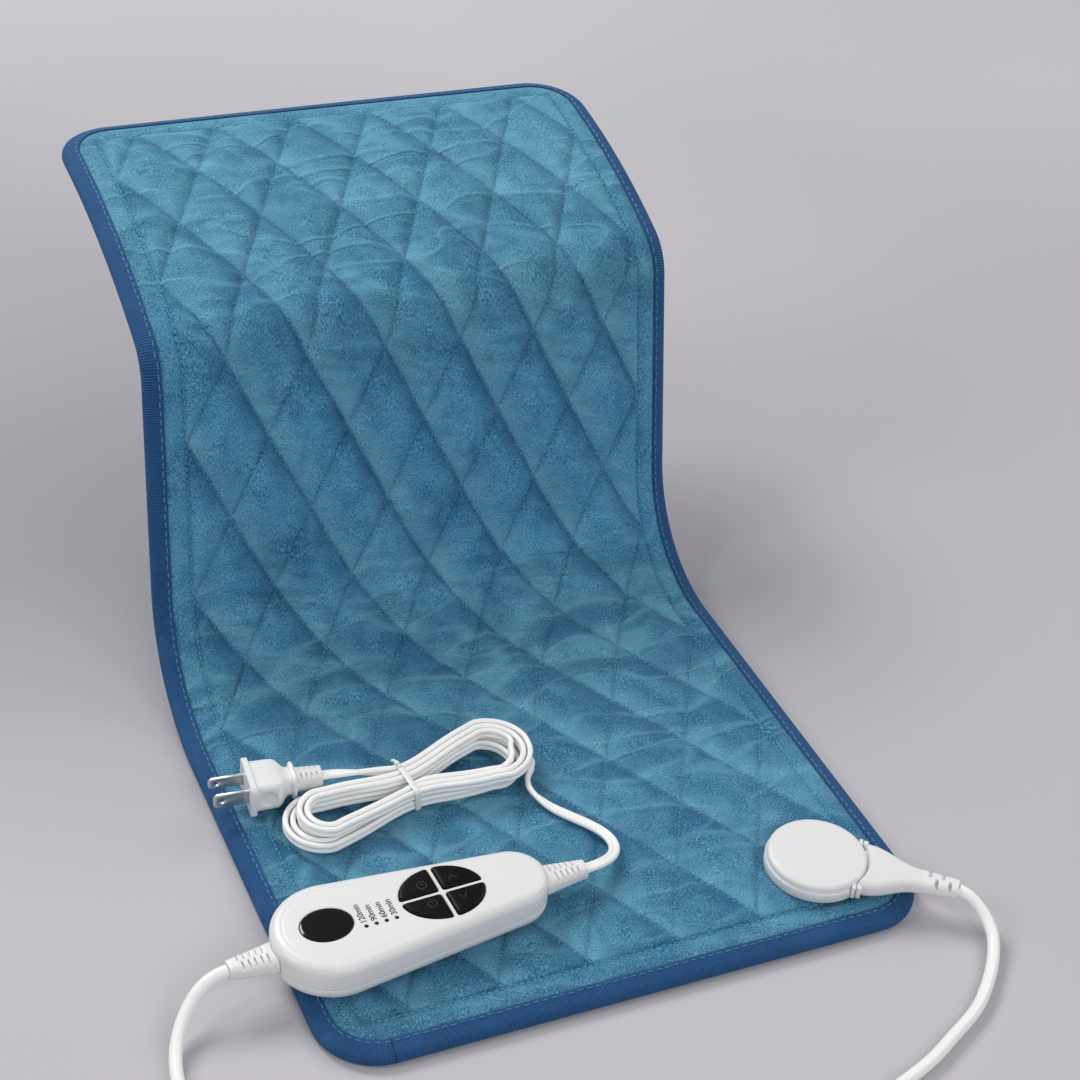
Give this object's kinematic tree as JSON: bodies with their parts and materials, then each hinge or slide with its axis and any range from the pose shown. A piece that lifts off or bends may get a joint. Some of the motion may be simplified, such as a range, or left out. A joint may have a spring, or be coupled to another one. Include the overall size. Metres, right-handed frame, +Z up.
{
  "type": "heating pad with controller",
  "caption": "Electric heating pad with a quilted plush cover bent over a step, a round plug-in socket, a hand controller with display and keys, and a flat mains cord tied in a hank.",
  "frame": {"origin": "middle of the underside of the pad with its socket, connector and controller, cords and plug left out", "axes": "+X along the front edge towards the socket, +Y from the front edge towards the raised back, +Z up"},
  "size_m": [0.3912, 0.6211, 0.2065],
  "materials": {
    "plush": "short brushed plush, diamond quilted",
    "backing": "short brushed plush",
    "binding": "ribbed dark blue binding tape with a light stitch",
    "felt": "needled white felt",
    "wire_sheath": "heat resistant silicone sheath",
    "white_gloss": "glossy warm white moulding",
    "white_soft": "satin white soft moulding",
    "cord_white": "semi-gloss white cord sheath",
    "black_gloss": "glossy black window",
    "black_key": "satin black keys",
    "board": "green laminate",
    "dark_component": "moulded dark plastic",
    "clear_guide": "clear moulding",
    "nickel": "nickel plated"
  },
  "bodies": {
    "pad": {"quilted_top": "plush", "back_cover": "backing", "edge_binding": "binding", "element_felt": "felt", "heating_wire": "wire_sheath", "thermal_cutout_left": "dark_component", "thermal_cutout_right": "dark_component", "socket_base": "white_soft", "socket_cover": "white_gloss", "socket_screw_left": "nickel", "socket_screw_right": "nickel", "socket_contact_line": "nickel", "socket_contact_middle": "nickel", "socket_contact_neutral": "nickel"},
    "lead_set": {"connector_body": "white_gloss", "connector_contact_line": "nickel", "connector_contact_middle": "nickel", "connector_contact_neutral": "nickel", "connector_strain_relief": "white_soft", "controller_bottom_shell": "white_gloss", "controller_top_shell": "white_gloss", "display_lens": "black_gloss", "display_module": "dark_component", "light_guide": "clear_guide", "circuit_board": "board", "power_triac": "dark_component", "line_fuse": "clear_guide", "filter_capacitor": "dark_component", "key_switch_power": "dark_component", "key_switch_timer": "dark_component", "key_switch_heat_up": "dark_component", "key_switch_heat_down": "dark_component", "shell_screw_wide_left": "nickel", "shell_screw_wide_right": "nickel", "shell_screw_slim_left": "nickel", "shell_screw_slim_right": "nickel", "lead_strain_relief": "white_soft", "mains_strain_relief": "white_soft", "mains_cord_hank": "cord_white", "cord_tie": "white_soft", "plug_body": "white_gloss", "plug_blade_line": "nickel", "plug_blade_neutral": "nickel", "pad_lead": "cord_white", "mains_cord": "cord_white", "plug_cord": "cord_white"},
    "key_power": {"button_power": "black_key"},
    "key_timer": {"button_timer": "black_key"},
    "key_heat_up": {"button_heat_up": "black_key"},
    "key_heat_down": {"button_heat_down": "black_key"}
  },
  "joints": [
    {"name": "connector_pull", "type": "slide", "parent": "pad", "child": "lead_set", "axis": [0.829, -0.5592, 0], "range_m": [0, 0.02]},
    {"name": "button_power_press", "type": "slide", "parent": "lead_set", "child": "key_power", "axis": [0, 0, -1], "range_m": [0, 0.0006], "stiffness_N_per_m": 800, "springref_m": -0.0002},
    {"name": "button_timer_press", "type": "slide", "parent": "lead_set", "child": "key_timer", "axis": [0, 0, -1], "range_m": [0, 0.0006], "stiffness_N_per_m": 800, "springref_m": -0.0002},
    {"name": "button_heat_up_press", "type": "slide", "parent": "lead_set", "child": "key_heat_up", "axis": [0, 0, -1], "range_m": [0, 0.0006], "stiffness_N_per_m": 800, "springref_m": -0.0002},
    {"name": "button_heat_down_press", "type": "slide", "parent": "lead_set", "child": "key_heat_down", "axis": [0, 0, -1], "range_m": [0, 0.0006], "stiffness_N_per_m": 800, "springref_m": -0.0002}
  ]
}
